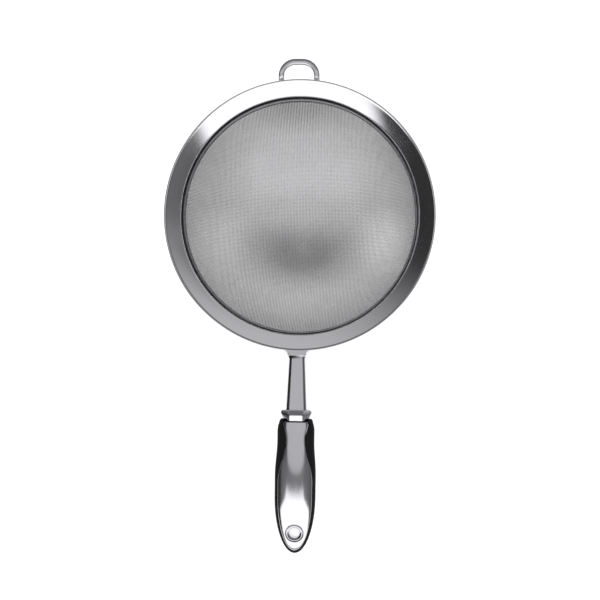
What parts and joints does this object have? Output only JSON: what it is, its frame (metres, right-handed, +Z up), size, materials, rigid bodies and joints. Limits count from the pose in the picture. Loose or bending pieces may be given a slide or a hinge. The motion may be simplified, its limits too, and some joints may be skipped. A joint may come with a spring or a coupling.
{
  "type": "mesh strainer",
  "caption": "Round fine mesh strainer with a polished rim, a wire rest loop and a steel handle with soft black sides and a hanging hole.",
  "frame": {"origin": "on the bowl's axis, in the plane where the undersides of the rest loop and the neck sit on the edge of a pot", "axes": "+Z up along the bowl's axis, +Y towards the rest loop, -Y towards the end of the handle"},
  "size_m": [0.229, 0.4212, 0.0917],
  "materials": {
    "polished_steel": "polished stainless steel",
    "satin_steel": "satin stainless steel",
    "wire_mesh": "woven stainless wire",
    "soft_black": "soft matt elastomer",
    "core_nylon": "moulded nylon"
  },
  "bodies": {
    "root": {"rim_band": "polished_steel", "mesh_bowl": "wire_mesh", "mesh_retaining_ring": "polished_steel", "rest_loop": "polished_steel", "neck_stem": "satin_steel", "neck_ferrule": "polished_steel", "handle_core": "core_nylon", "handle_top_shell": "satin_steel", "handle_bottom_shell": "satin_steel", "soft_grip": "soft_black", "hang_eyelet": "polished_steel"}
  },
  "joints": []
}
